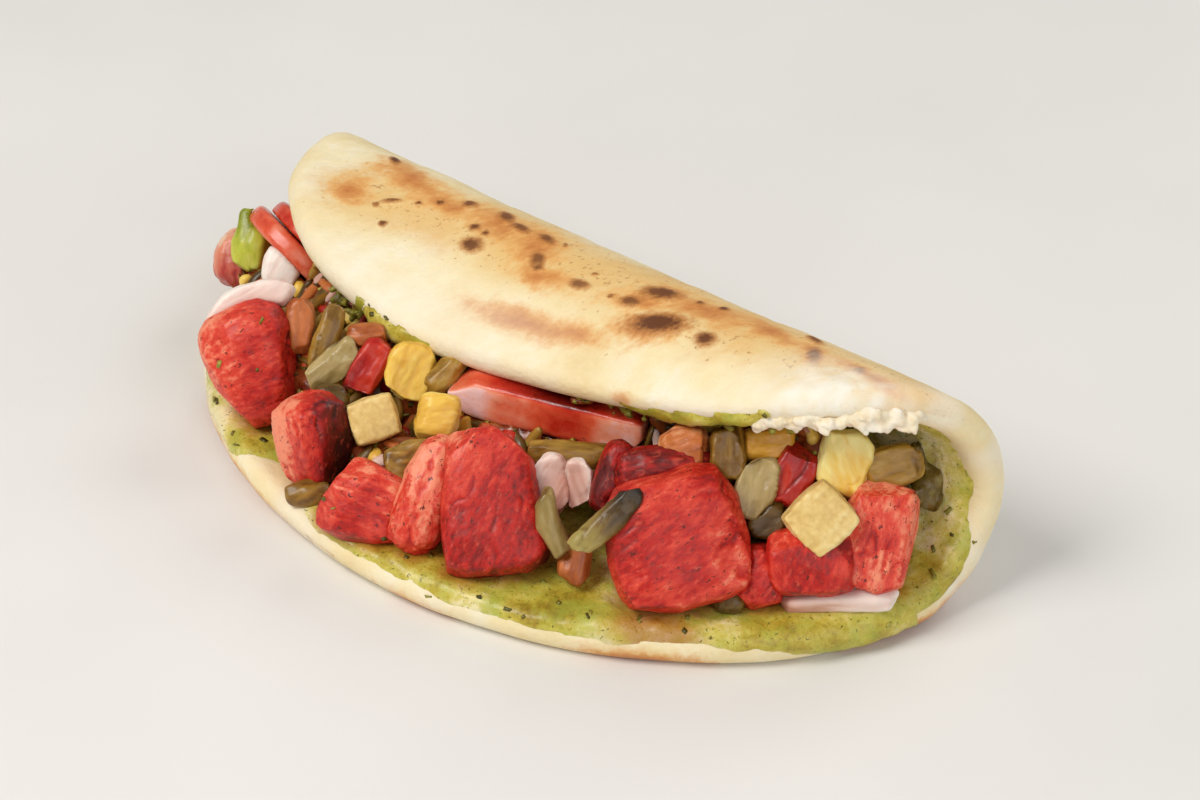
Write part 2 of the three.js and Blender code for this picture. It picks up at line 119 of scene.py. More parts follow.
def noise(points, size, seed=0, octaves=2):
    """Smooth noise from -1 to 1 whose largest lumps are about size across."""
    points = np.asarray(points, float)
    total = 0.0
    weight = 0.0
    for octave in range(octaves):
        p = points / size * 2.0**octave + 17.3 * octave
        base = np.floor(p).astype(np.int64)
        t = p - base
        t = t * t * (3 - 2 * t)
        value = 0.0
        for corner in range(8):
            step = np.array([corner & 1, corner >> 1 & 1, corner >> 2 & 1])
            share = np.prod(np.where(step == 1, t, 1 - t), axis=-1)
            value += share * lattice(base + step, seed + 31 * octave)
        total += (2 * value - 1) * 0.5**octave
        weight += 0.5**octave
    return total / weight


def unit(vector):
    """The vector made one long."""
    return vector / np.linalg.norm(vector)


def tilted_axes(normal, tilt, random):
    """Axes of a small thing lying on a surface, turned at random, with its own up last."""
    normal = unit(normal + tilt * random.normal(size=3))
    side = unit(np.cross(normal, random.normal(size=3)))
    return np.stack([side, np.cross(normal, side), normal])


def oval_edge(angle):
    """Point of the flat bread's edge: x along the fold, s across it from the oval's middle."""
    c, t = np.cos(angle), np.sin(angle)
    # The powers that shape its four quarters.
    back = np.where(c >= 0, 3.47, 2.24)
    front = np.where(c >= 0, 1.86, 2.2)
    n = np.where(t >= 0, back, front)
    bulge = 0.02 * hill(np.degrees(angle) % 360, 212, 22)
    reach = (np.abs(c) ** n + np.abs(t) ** n) ** (-1 / n) * (1 + bulge)
    half = np.where(c >= 0, HALF_LENGTH_RIGHT, HALF_LENGTH_LEFT)
    return half * c * reach, HALF_WIDTH * t * reach


def folded(x, s, out):
    """Carries points of the flat bread into the folded one. out is outward from its middle."""
    u = x / MEAN_HALF_LENGTH
    radius = 20 * (1 + 0.3 * u - 0.046 * u * u - 0.013 * u**3)
    turned = np.pi + np.radians(26 + 39.5 * u)
    start = FOLD_START + FOLD_BOW * u * u
    lift = RIM_LIFT * np.maximum(0, -s - FLAT_DEPTH) ** 2
    a = np.minimum(s / radius, turned)
    straight = s - a * radius
    r = radius + out
    over_y = start + r * np.sin(a) + straight * np.cos(a)
    over_z = HALF_THICKNESS + radius - r * np.cos(a) + straight * np.sin(a)
    y = np.where(s < 0, start + s, over_y)
    z = np.where(s < 0, HALF_THICKNESS + lift - out, over_z)
    return np.stack([x + 0 * y, y, z], -1)


def rim_waves(angle, share):
    """The bread's slightly uneven outline, as a factor on the way out from its middle."""
    ring = np.stack([60 * np.cos(angle), 60 * np.sin(angle), 0 * angle], -1)
    return 1 + smooth(0.6, 1.0, share) * (0.006 * noise(ring, 16, 3) + 0.003 * noise(ring, 5, 4))


def edge_of_flap(x):
    """How far across the fold the upper flap's edge lies at x."""
    angle = np.linspace(0.0, np.pi, 721)
    edge_x, edge_s = oval_edge(angle)
    return CENTRE_PAST_START + np.interp(x, edge_x[::-1], edge_s[::-1])


# ---- Meshes ----

def grid_cells(index):
    """The cells of a grid of point numbers, as quads."""
    corners = index[:-1, :-1], index[1:, :-1], index[1:, 1:], index[:-1, 1:]
    return np.stack(corners, -1).reshape(-1, 4)


def ring_cells(index):
    """The cells of a grid of point numbers whose rows are rings."""
    return grid_cells(np.hstack([index, index[:, :1]]))


def placed(name, data):
    """A new object in the scene."""
    thing = bpy.data.objects.new(name, data)
    bpy.context.scene.collection.objects.link(thing)
    return thing


def add_mesh(name, points, faces, **layers):
    """A smooth mesh object from points in millimetres, faces of one size, and one number or
    vector for each point in each layer."""
    mesh = bpy.data.meshes.new(name)
    mesh.vertices.add(len(points))
    mesh.vertices.foreach_set("co", (np.asarray(points, float) * MM).astype(np.float32).ravel())
    faces = np.asarray(faces, np.int32)
    mesh.loops.add(faces.size)
    mesh.loops.foreach_set("vertex_index", faces.ravel())
    mesh.polygons.add(len(faces))
    mesh.polygons.foreach_set("loop_start", np.arange(len(faces), dtype=np.int32) * faces.shape[1])
    mesh.update(calc_edges=True)
    mesh.validate()
    mesh.polygons.foreach_set("use_smooth", np.ones(len(mesh.polygons), bool))
    for key, values in layers.items():
        kind, field = ("FLOAT", "value") if values.ndim == 1 else ("FLOAT_VECTOR", "vector")
        layer = mesh.attributes.new(key, kind, "POINT")
        layer.data.foreach_set(field, values.astype(np.float32).ravel())
    return placed(name, mesh)


def dress(piece, look, slot, *nodes):
    """Gives a piece its look and hides the nodes that it stands for. The slot is not used."""
    piece.data.materials.append(look)
    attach(piece, "root")
    if nodes:
        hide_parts(*nodes)
    return piece


def read_mesh(mesh):
    """Points in millimetres and faces of a mesh whose faces are all of one size."""
    points = np.empty(len(mesh.vertices) * 3)
    mesh.vertices.foreach_get("co", points)
    corners = np.empty(len(mesh.loops), np.int32)
    mesh.loops.foreach_get("vertex_index", corners)
    return points.reshape(-1, 3) / MM, corners.reshape(len(mesh.polygons), -1)


def joined(parts):
    """Several meshes of quads as one list of points and faces."""
    offsets = np.cumsum([0] + [len(points) for points, _ in parts[:-1]])
    faces = [faces + offset for (_, faces), offset in zip(parts, offsets)]
    return np.concatenate([points for points, _ in parts]), np.concatenate(faces)


def remeshed(source, voxel):
    """Even quads over a mesh object: points in millimetres and faces."""
    trial = placed("trial", source.data.copy())
    weld = trial.modifiers.new("weld", "WELD")
    weld.merge_threshold = 0.00002
    grid = trial.modifiers.new("grid", "REMESH")
    grid.mode = "VOXEL"
    grid.voxel_size = voxel * MM
    made = trial.evaluated_get(bpy.context.evaluated_depsgraph_get())
    points, faces = read_mesh(made.to_mesh())
    made.to_mesh_clear()
    bpy.data.meshes.remove(trial.data)
    return points, faces


def relaxed(points, faces, steps, share=0.5):
    """The points moved towards the mean of their neighbours."""
    ring = np.roll(faces, -1, axis=1)
    edges = np.unique(np.sort(np.stack([faces.ravel(), ring.ravel()], 1), axis=1), axis=0)
    count = len(points)
    a, b = edges[:, 0], edges[:, 1]
    degree = np.maximum(np.bincount(edges.ravel(), minlength=count), 1)
    for _ in range(steps):
        total = np.stack([
            np.bincount(a, points[b, axis], count) + np.bincount(b, points[a, axis], count)
            for axis in range(3)
        ], 1)
        points = points + share * (total / degree[:, None] - points)
    return points


def normals_of(points, faces):
    """Unit normals at the points of a mesh of quads or triangles."""
    across = points[faces[:, 2]] - points[faces[:, 0]]
    other = points[faces[:, -1]] - points[faces[:, 1]]
    face = np.cross(across, other)
    total = np.stack([
        sum(np.bincount(faces[:, k], face[:, axis], len(points)) for k in range(faces.shape[1]))
        for axis in range(3)
    ], 1)
    return total / np.maximum(np.linalg.norm(total, axis=1, keepdims=True), 1e-9)


def chiselled(offset, seed, planes, least, most):
    """Cuts a lump about its middle back to flat faces: one near each end of its own axes and some
    more at random. Also gives each point the number of its face."""
    random = np.random.default_rng(seed)
    own_axes = np.linalg.eigh(np.cov(offset.T))[1].T
    directions = [
        side * axis + FACE_TILT * random.normal(size=3) for axis in own_axes for side in (-1, 1)
    ]
    depths = random.uniform(0.04, 0.12, len(directions)).tolist()
    directions.extend(random.normal(size=(planes, 3)))
    depths.extend(random.uniform(least, most, planes))
    number = np.zeros(len(offset))
    for direction, depth in zip(directions, depths):
        direction = direction / np.linalg.norm(direction)
        reach = offset @ direction
        over = np.maximum(reach - reach.max() * (1 - depth), 0)
        number = np.where(over > 0, random.uniform(-1, 1), number)
        offset = offset - np.outer(over, direction)
    return offset, number


# ---- Looks ----

def rgb(red, green, blue):
    """A colour given as the 0 to 255 of a screen, as light."""
    screen = np.array([red, green, blue]) / 255
    light = np.where(screen <= 0.04045, screen / 12.92, ((screen + 0.055) / 1.055) ** 2.4)
    return (*light.tolist(), 1.0)


class Look:
    """A material under construction."""

    def __init__(self, name):
        self.material = bpy.data.materials.new(name)
        self.material.use_nodes = True
        self.tree = self.material.node_tree
        self.tree.nodes.clear()
        self.shader = self.tree.nodes.new("ShaderNodeBsdfPrincipled")
        out = self.tree.nodes.new("ShaderNodeOutputMaterial")
        self.tree.links.new(self.shader.outputs["BSDF"], out.inputs["Surface"])

    def put(self, socket, value):
        """Links a socket to another one or sets it to a value."""
        if isinstance(value, bpy.types.NodeSocket):
            self.tree.links.new(value, socket)
        else:
            socket.default_value = value

    def set(self, **sockets):
        """Sets the shader's sockets, with _ for each space in their names."""
        for name, value in sockets.items():
            self.put(self.shader.inputs[name.replace("_", " ")], value)

    def node(self, kind, output, sockets, **settings):
        """An output of a new node whose sockets are linked or set."""
        node = self.tree.nodes.new("ShaderNode" + kind)
        for name, value in settings.items():
            setattr(node, name, value)
        for name, value in sockets.items():
            self.put(node.inputs[name], value)
        return node.outputs[output]

    def attribute(self, name, output="Fac"):
        return self.node("Attribute", output, {}, attribute_name=name)

    def noise(self, vector, scale, detail=3.0, rough=0.55, warp=0.0):
        return self.node("TexNoise", "Fac", {
            "Vector": vector, "Scale": scale, "Detail": detail, "Roughness": rough,
            "Distortion": warp})

    def math(self, operation, a, b):
        return self.node("Math", 0, {0: a, 1: b}, operation=operation)

    def sway(self, value, noise, amount):
        """The value moved up and down by a noise whose middle is 0.5."""
        offset = self.math("SUBTRACT", noise, 0.5)
        return self.math("ADD", value, self.math("MULTIPLY", offset, amount))

    def span(self, value, low, high, to_low=0.0, to_high=1.0):
        """The value carried softly from one range to another, and held at its ends."""
        return self.node("MapRange", "Result", {
            "Value": value, "From Min": low, "From Max": high, "To Min": to_low,
            "To Max": to_high}, interpolation_type="SMOOTHSTEP")

    def mix(self, share, a, b):
        """Colour a at share 0 and b at share 1. The node's colour sockets are 6, 7 and out 2."""
        return self.node("Mix", 2, {"Factor": share, 6: a, 7: b}, data_type="RGBA")

    def ramp(self, value, *stops):
        """Colours by value: each stop is a place from 0 to 1 and a screen colour."""
        node = self.tree.nodes.new("ShaderNodeValToRGB")
        self.put(node.inputs["Fac"], value)
        elements = node.color_ramp.elements
        while len(elements) < len(stops):
            elements.new(0.5)
        for element, (place, *colour) in zip(elements, stops):
            element.position = place
            element.color = rgb(*colour)
        return node.outputs["Color"]

    def bump(self, height, distance, strength, **under):
        """The surface raised by up to a distance in millimetres, over a Normal if one is given."""
        return self.node("Bump", "Normal", {
            "Strength": strength, "Distance": distance * MM, "Height": height, **under})


def bread_look():
    """Baked dough with golden, toasted and charred places, flour, a painted highlight near the left
    end, and stains from the filling.
    """
    look = Look("flatbread")
    sheet = look.attribute("sheet", "Vector")
    broad = look.noise(sheet, 1 / 30, 2)
    mottle = look.noise(sheet, 1 / 8, 4, 0.6)
    fine = look.noise(sheet, 1 / 1.3, 4, 0.6)
    speck = look.noise(sheet, 1 / 2.6, 4, 0.6)
    grain = look.math(
        "ADD", look.math("MULTIPLY", broad, 0.55), look.math("MULTIPLY", mottle, 0.45))
    colour = look.ramp(
        grain, (0.36, 232, 206, 150), (0.46, 240, 220, 170), (0.56, 244, 229, 188),
        (0.66, 247, 238, 212))
    gold = look.sway(look.sway(look.attribute("gold"), mottle, 1.1), speck, 0.5)
    colour = look.mix(look.span(gold, 0.05, 0.95, 0.0, 0.85), colour, rgb(228, 184, 112))
    dots = look.noise(sheet, 1 / 1.1, 2, 0.5)
    dots = look.math("ADD", dots, look.math("MULTIPLY", look.attribute("gold"), 0.14))
    colour = look.mix(look.span(dots, 0.71, 0.82, 0.0, 0.6), colour, rgb(168, 108, 54))
    heat = look.sway(look.sway(look.attribute("toast"), speck, 0.6), mottle, 0.5)
    toast = look.ramp(
        heat, (0.1, 236, 196, 128), (0.35, 228, 170, 98), (0.6, 208, 136, 70),
        (0.85, 178, 98, 46), (1.0, 150, 74, 34))
    colour = look.mix(look.span(heat, 0.0, 0.5, 0.0, 0.95), colour, toast)
    scorch = look.sway(look.attribute("char"), fine, 0.9)
    colour = look.mix(look.span(scorch, -0.45, 0.2, 0.0, 0.8), colour, rgb(184, 120, 60))
    depth = look.span(broad, 0.35, 0.6, 0.7, 1.0)
    colour = look.mix(look.span(scorch, 0.0, 0.6, 0.0, depth), colour, rgb(104, 58, 28))
    # Flour, and a painted highlight near the left end.
    colour = look.mix(look.attribute("flour"), colour, rgb(246, 239, 222))
    stain = look.attribute("stain")
    stain = look.math("MULTIPLY", stain, look.span(mottle, 0.3, 0.7, 0.35, 1.0))
    colour = look.mix(stain, colour, rgb(210, 172, 88))
    pores = look.bump(fine, 0.25, 0.5)
    look.set(
        Base_Color=colour, Roughness=look.span(heat, 0.1, 0.8, 0.62, 0.5),
        Subsurface_Weight=0.12, Subsurface_Radius=(1.0, 0.7, 0.45), Subsurface_Scale=0.003,
        Specular_IOR_Level=0.3, Normal=look.bump(speck, 0.4, 0.5, Normal=pores),
    )
    return look.material


def food_look(
    name, *stops, grain=1.0, specks=None, flecks=None, fresh=None, stained=None, wet=0.18,
    rough=0.38, through=0.38, glow=(1.0, 0.4, 0.25), relief=0.25, contrast=0.5,
):
    """A piece of cooked food. Colours run with the tone attribute, broken up along the grain.

    grain is the size of the texture, specks, fresh and stained are colours laid over it, flecks
    light painted highlights laid over it, wet its gloss, and through and glow say how light goes
    through the piece."""
    look = Look(name)
    vector = look.attribute("grain", "Vector")
    broad = look.noise(vector, 1 / (5.5 * grain), 3, 0.6)
    fine = look.noise(vector, 1 / (1.3 * grain), 4, 0.65, 0.3)
    tone = look.sway(look.attribute("tone"), broad, contrast)
    tone = look.sway(tone, fine, contrast * 0.8)
    colour = look.ramp(tone, *stops)
    if specks:
        spot = look.noise(vector, 1 / (0.9 * grain), 2, 0.5, 0.8)
        colour = look.mix(look.span(spot, 0.63, 0.7), colour, specks)
    # Light flecks: painted highlights.
    if flecks:
        light = look.noise(vector, 1 / (1.6 * grain), 3, 0.6, 0.2)
        colour = look.mix(look.span(light, 0.55, 0.75, 0.0, 0.5), colour, flecks)
    if fresh:
        patch = look.noise(vector, 1 / 9, 3, 0.6)
        colour = look.mix(look.span(patch, 0.42, 0.68, 0.0, 0.7), colour, fresh)
    if stained:
        stain = look.sway(look.attribute("oil"), broad, 0.6)
        colour = look.mix(look.span(stain, 0.25, 0.85, 0.0, 0.65), colour, stained)
    look.set(
        Base_Color=colour, Roughness=look.span(fine, 0.3, 0.7, rough - 0.1, rough + 0.12),
        Subsurface_Weight=through, Subsurface_Radius=glow, Subsurface_Scale=0.0015,
        Coat_Weight=wet, Coat_Roughness=0.2, Specular_IOR_Level=0.35,
        Normal=look.bump(fine, relief, 0.7),
    )
    return look.material


LOOKS = {
    # The chicken's light flecks are painted highlights.
    "chicken": food_look("grilled_chicken", (0.0, 58, 6, 4), (0.25, 120, 12, 8), (0.5, 186, 26, 16),
        (0.72, 218, 66, 44), (0.92, 240, 142, 108), grain=0.75, contrast=0.6, wet=0.1, rough=0.46,
        through=0.1, specks=rgb(96, 22, 8), flecks=rgb(232, 98, 72)),
    "tomato": food_look("tomato_flesh", (0.0, 110, 16, 8), (0.3, 192, 44, 26), (0.55, 222, 92, 58),
        (0.8, 240, 156, 124), (1.0, 246, 208, 206), grain=1.6, contrast=0.3, relief=0.12, wet=0.35,
        rough=0.3, through=0.25),
    "onion": food_look("onion_flesh", (0.0, 150, 84, 72), (0.35, 202, 146, 126),
        (0.6, 232, 200, 186), (1.0, 250, 240, 230), grain=1.2, contrast=0.4, relief=0.12,
        glow=(1.0, 0.7, 0.6)),
    "red_onion": food_look("red_onion_flesh", (0.0, 112, 22, 28), (0.35, 184, 66, 58),
        (0.65, 222, 138, 108), (1.0, 244, 212, 178), grain=1.2, contrast=0.35),
    "red_pepper": food_look("red_pepper_flesh", (0.0, 88, 8, 6), (0.35, 172, 24, 18),
        (0.6, 206, 62, 36), (0.85, 234, 130, 74), (1.0, 250, 190, 120), grain=1.5, contrast=0.35,
        relief=0.1, wet=0.2, rough=0.36, through=0.2),
    "lime": food_look("lime_green_pepper", (0.0, 92, 104, 16), (0.35, 150, 160, 40),
        (0.65, 196, 200, 72), (1.0, 232, 230, 134), grain=1.4, contrast=0.35),
    "olive": food_look("olive_green_pepper", (0.0, 58, 36, 6), (0.35, 122, 86, 24),
        (0.65, 170, 130, 48), (1.0, 208, 184, 104), grain=1.2, contrast=0.55),
    "dark_green": food_look("dark_green_pepper", (0.0, 34, 22, 6), (0.4, 82, 58, 16),
        (0.7, 122, 94, 34), (1.0, 164, 146, 80), grain=1.2),
    "pale_green": food_look("pale_green_pepper", (0.0, 98, 76, 34), (0.35, 150, 126, 70),
        (0.65, 184, 162, 108), (1.0, 222, 210, 170), grain=1.3, contrast=0.4, glow=(1.0, 0.9, 0.5)),
    "yellow": food_look("yellow_pepper_flesh", (0.0, 160, 98, 18), (0.35, 214, 156, 48),
        (0.65, 240, 200, 88), (1.0, 252, 236, 156), grain=1.3, glow=(1.0, 0.8, 0.3)),
    "cube": food_look("pale_cube_flesh", (0.0, 160, 112, 50), (0.35, 206, 166, 92),
        (0.65, 228, 196, 122), (1.0, 246, 228, 170), relief=0.2, rough=0.44, through=0.3,
        glow=(1.0, 0.8, 0.5)),
    "orange": food_look("cooked_orange_pepper", (0.0, 88, 34, 8), (0.35, 156, 78, 28),
        (0.65, 202, 118, 60), (1.0, 236, 190, 140), grain=1.2),
    "leaf": food_look("cooked_leaf", (0.0, 26, 20, 4), (0.4, 72, 58, 16), (0.7, 110, 88, 32),
        (1.0, 150, 134, 66), grain=0.8, wet=0.3, rough=0.36, through=0.15),
    "sauce": food_look("cooked_filling_sauce", (0.0, 48, 12, 4), (0.35, 104, 38, 14),
        (0.6, 148, 72, 28), (0.8, 176, 108, 48), (1.0, 206, 156, 92), grain=1.4, contrast=0.7,
        wet=0.5, rough=0.3, through=0.15),
    "chutney": food_look("green_chutney", (0.0, 108, 80, 16), (0.25, 152, 124, 34),
        (0.5, 188, 168, 56), (0.7, 206, 192, 86), (0.9, 226, 210, 138), (1.0, 236, 222, 170),
        grain=0.9, contrast=0.8, relief=0.4, wet=0.3, rough=0.36, through=0.2,
        specks=rgb(110, 100, 24), fresh=rgb(166, 174, 62), stained=rgb(168, 92, 34)),
    "crumb": food_look("torn_bread_crumb", (0.0, 206, 176, 124), (0.4, 238, 222, 190),
        (1.0, 253, 247, 234), grain=0.8, contrast=0.6, relief=0.4, wet=0.0, rough=0.7, through=0.3,
        glow=(1.0, 0.8, 0.6)),
    "herb": food_look("chopped_herb", (0.0, 44, 40, 6), (0.4, 92, 84, 18), (0.7, 140, 132, 40),
        (1.0, 196, 188, 88), grain=0.6, contrast=0.6, wet=0.3, through=0.15),
}


# ---- The bread ----

def spots(x, s, listed, softness):
    """1 inside the listed ellipses, falling to 0 a little outside them and below 0 farther off."""
    best = np.full(x.shape, -2.0)
    for at_x, at_s, half, other, turn in listed:
        c, t = np.cos(np.radians(turn)), np.sin(np.radians(turn))
        along = ((x - at_x) * c + (s - at_s) * t) / half
        across = ((s - at_s) * c - (x - at_x) * t) / other
        best = np.maximum(best, softness * (1 - np.hypot(along, across)))
    return best


def make_bread():
    """The bread: an oval sheet with a round rim, made flat and carried round the fold."""
    t = np.linspace(-1, 1, BREAD_GRID)
    a, b = (side.ravel() for side in np.meshgrid(t, t, indexing="ij"))
    wide = np.abs(a) >= np.abs(b)
    reach = np.where(wide, a, b)
    safe_a, safe_b = np.where(a == 0, 1, a), np.where(b == 0, 1, b)
    angle = np.where(wide, np.pi / 4 * b / safe_a, np.pi / 2 - np.pi / 4 * a / safe_b)
    px, py = reach * np.cos(angle), reach * np.sin(angle)
    angle = np.arctan2(py, px)
    radius = np.hypot(px, py) * (DISC_RADIUS - HALF_THICKNESS)
    count = BREAD_GRID**2
    index = np.arange(count).reshape(BREAD_GRID, BREAD_GRID)
    cells = grid_cells(index)
    border = np.concatenate([index[:-1, 0], index[-1, :-1], index[:0:-1, -1], index[0, :0:-1]])

    # Rows of the section: the table side (out), the rim, then the inner side.
    angles, radii = [angle, angle], [radius, radius]
    outs = [np.full(count, HALF_THICKNESS), np.full(count, -HALF_THICKNESS)]
    faces = [cells, cells[:, ::-1] + count]
    previous = border
    flat_radius = DISC_RADIUS - HALF_THICKNESS
    for step in range(1, RIM_STEPS + 1):
        if step < RIM_STEPS:
            lean = np.pi * (0.5 - step / RIM_STEPS)
            angles.append(angle[border])
            radii.append(np.full(len(border), flat_radius + HALF_THICKNESS * np.cos(lean)))
            outs.append(np.full(len(border), HALF_THICKNESS * np.sin(lean)))
            row = 2 * count + (step - 1) * len(border) + np.arange(len(border))
        else:
            row = border + count
        band = np.stack([previous, np.roll(previous, -1), np.roll(row, -1), row], -1)
        faces.append(band[:, ::-1])
        previous = row
    angle, radius, out = (np.concatenate(part) for part in (angles, radii, outs))
    faces = np.concatenate(faces)[:, ::-1]

    share = radius / DISC_RADIUS
    edge_x, edge_s = oval_edge(angle)
    wavy = rim_waves(angle, share)
    x = edge_x * share * wavy
    s = CENTRE_PAST_START + edge_s * share * wavy
    flat = np.stack([x, s, out * 0.4], -1)

    outer = smooth(-2.5, 3.0, out)
    upper = smooth(8, 40, s)
    toast = np.clip(0.62 * spots(x, s, TOASTED, 0.6) + 0.32, -0.6, 0.62)
    gold = hill(s - 62 - 0.1 * x, 0, 13) * smooth(-88, -60, x)
    gold = gold + 0.35 * noise(flat, 24, 23, 3) - 0.1
    char = np.clip(spots(x, s, CHARRED, 0.8) + 0.22, -1.0, 1.0)
    rim = smooth(0.9, 1.0, share)
    under = 1 - smooth(-8, 12, s)
    relief = 0.55 * noise(flat, 26, 12, 2) + 0.35 * noise(flat, 9, 11, 3)
    relief += 0.14 * noise(flat, 2.6, 13, 2)
    relief += 0.55 * np.clip(char + 0.5, 0, 1)
    relief += 0.3 * np.clip(toast, 0, 1) * noise(flat, 4, 14, 2)
    torn = smooth(56, 80, x) * smooth(62, 80, s)
    relief += torn * (0.9 * noise(flat * [0.35, 1.6, 1], 2.6, 15, 3))
    relief = relief * (1 - 0.85 * under * outer) * (1 - 0.35 * rim)
    grown = out * (1 + 0.06 * noise(flat, 20, 16))
    grown += np.sign(out) * relief * np.where(outer > 0.5, 1, 0.45)
    grown = np.where(under * outer > 0.5, np.minimum(grown, HALF_THICKNESS), grown)
    points = folded(x, s, grown)

    toast = np.where(outer > 0, toast * outer * upper, -0.6)
    gold = np.where(outer > 0.3, gold * upper, -0.3 + 0.35 * noise(flat, 18, 24, 2))
    toast += 0.6 * under * outer * (1 + noise(flat, 14, 17, 3)) * smooth(0.97, 0.9, share)
    toast += 0.75 * (1 - upper) * outer * smooth(0.2, 0.9, noise(flat, 22, 18, 3) + 0.45)
    char = np.where(outer > 0.4, char, -1.0)
    behind = (outer > 0.5) & (upper < 0.9)
    char = np.maximum(char, np.where(behind, 3.2 * noise(flat, 8, 19, 2) - 2.2, -1.0))
    inner = 1 - smooth(-3.6, 0.5, out)
    stain = 0.95 + 0.25 * smooth(50, 80, x) - 1.1 * smooth(0.91, 1.01, share)
    stain = 0.6 * inner * np.clip(stain + 0.25 * noise(flat, 10, 20, 2), 0, 1)
    flour = np.clip(torn * (0.9 + 0.6 * noise(flat, 2.0, 21, 2)), 0, 1)
    flour = np.maximum(flour, 0.55 * rim * smooth(-0.3, 0.6, noise(flat, 9, 22, 2)))
    # Paler on the upper flap's outer side towards the left end: a painted highlight, laid in with
    # the flour.
    pale = 0.5 * outer * smooth(68, 88, s) * smooth(40, -30, x) * smooth(-96, -80, x)
    flour = np.maximum(flour, pale)
    bread = add_mesh(
        "flatbread", points, faces, toast=toast, char=char, gold=gold, stain=stain, flour=flour,
        sheet=np.stack([x, s, out], -1))
    return dress(bread, bread_look(), "bread", "bread")


# ---- Green chutney on the inner side of the bread ----

def make_chutney(chicken):
    """A closed skin on the bread's inner side, browned by oil close to the chicken."""
    xs, ss = np.arange(-102, 107, CHUTNEY_STEP), np.arange(-77, 98, CHUTNEY_STEP)
    grid_x, grid_s = np.meshgrid(xs, ss, indexing="ij")
    x, s = grid_x.ravel(), grid_s.ravel()
    half = np.where(x >= 0, HALF_LENGTH_RIGHT, HALF_LENGTH_LEFT)
    angle = np.arctan2((s - CENTRE_PAST_START) / HALF_WIDTH, x / half)
    edge_x, edge_s = oval_edge(angle)
    share = np.hypot(x, s - CENTRE_PAST_START) / np.hypot(edge_x, edge_s)
    share = share / rim_waves(angle, share)
    flat = np.stack([x, s, 0 * x], -1)

    # Millimetres in from the chutney's edge: on the lower flap, up the wall at the right end, and
    # along the upper flap's edge where it shows under the bread.
    limit = 1.016 + 0.01 * hill(x, -60, 14) - 0.1 * hill(x, -24, 11)
    corner = smooth(56, 76, x) * smooth(-34, -16, s) * smooth(34, 12, s)
    limit = np.where(s > 0, 0.965, limit) + 0.06 * corner
    inside = (limit - share) * DISC_RADIUS + 2.6 * noise(flat, 11, 31, 4)
    high = np.where(x > 40, 12 + 62 * smooth(40, 78, x), 12)
    inside = np.minimum(inside, (high - s) / 2)
    reach = np.maximum(np.minimum(x - 36, 74 - x), np.minimum(x + 39, -13 - x)) * 0.5
    outer_end = np.where(x < 0, 1.055, 1.052)
    fringe = np.minimum((share - 0.95) * DISC_RADIUS, (outer_end - share) * DISC_RADIUS)
    fringe = np.minimum(fringe, reach) + 2.0 * noise(flat, 3.2, 35, 2)
    inside = np.where(s > 45, np.maximum(inside, fringe), inside)
    keep = (inside > -2.0) & (share < 1.062)

    lumps = 0.5 + 0.6 * noise(flat, 7, 32, 2) + 0.6 * noise(flat, 2.4, 33, 3)
    lumps += 0.9 * smooth(45, 60, s) * smooth(0.985, 1.01, share)
    depth = smooth(-0.5, 5, inside) * (0.7 + np.maximum(lumps, -0.3))
    depth = depth - 0.3 - 1.3 * smooth(0, -1.6, inside)
    lean = np.clip((share - 1) * DISC_RADIUS / HALF_THICKNESS + 1, 0, 2.25)
    cells = grid_cells(np.where(keep, np.arange(len(x)), -1).reshape(grid_x.shape))
    used, cells = np.unique(cells[(cells >= 0).all(1)], return_inverse=True)
    cells = cells.reshape(-1, 4)
    x, s, share, lean, depth, flat, inside = (
        part[used] for part in (x, s, share, lean, depth, flat, inside))

    def raised(above):
        """The points at a height above the bread's inner side, leaning out over its rim."""
        level = HALF_THICKNESS + above
        over_rim = DISC_RADIUS - HALF_THICKNESS + level * np.sin(lean)
        ratio = np.where(lean > 0, over_rim, share * DISC_RADIUS) / (share * DISC_RADIUS)
        across = CENTRE_PAST_START + (s - CENTRE_PAST_START) * ratio
        return folded(x * ratio, across, -level * np.cos(lean))

    top = raised(depth)
    bottom = raised(np.full(len(x), -CHUTNEY_ROOT))
    count = len(top)
    sides = np.stack([cells, np.roll(cells, -1, axis=1)], -1).reshape(-1, 2)
    keys = np.sort(sides, axis=1)
    _, where, times = np.unique(keys, axis=0, return_index=True, return_counts=True)
    rim = sides[where[times == 1]]
    walls = np.stack([rim[:, 1], rim[:, 0], rim[:, 0] + count, rim[:, 1] + count], -1)
    faces = np.concatenate([cells, cells[:, ::-1] + count, walls])
    tone = 0.46 + 0.6 * noise(flat, 13, 34, 4) + 0.14 * depth
    tone += 0.14 * smooth(0.84, 1.0, share) * smooth(10, -25, s) * smooth(40, 0, x)
    # Lighter at the right end, where it lies in shade: painted light.
    tone += 0.26 * smooth(60, 84, x) * smooth(-30, 0, s)
    tone += 0.34 * smooth(4.5, 0.3, inside) * smooth(10, -25, s)
    oil = np.exp(-(((x - 70) / 14) ** 2 + ((s + 44) / 9) ** 2))
    tree = BVHTree.FromPolygons(chicken[0].tolist(), chicken[1].tolist())
    near = [tree.find_nearest(Vector(p), 6.0)[3] for p in top]
    near = np.array([9.0 if gap is None else gap for gap in near])
    oil = np.maximum(oil, (0.78 - 0.15 * near) * (1 - 0.6 * smooth(-45, -70, x)))
    points = np.concatenate([top, bottom])
    tone, oil = np.tile(tone, 2), np.tile(oil, 2)
    made = add_mesh("green_chutney", points, faces, tone=tone, oil=oil, grain=points)
    return dress(made, LOOKS["chutney"], None)


# ---- Pieces of the filling, each on the form of its solid ----

def view_frame(degrees):
    """Axes along and across a direction seen in the photo, counter-clockwise from the right."""
    c, t = np.cos(np.radians(degrees)), np.sin(np.radians(degrees))
    along = c * VIEW_RIGHT - t * VIEW_DOWN
    across = -t * VIEW_RIGHT - c * VIEW_DOWN
    return np.stack([along, across, VIEW_BACK])


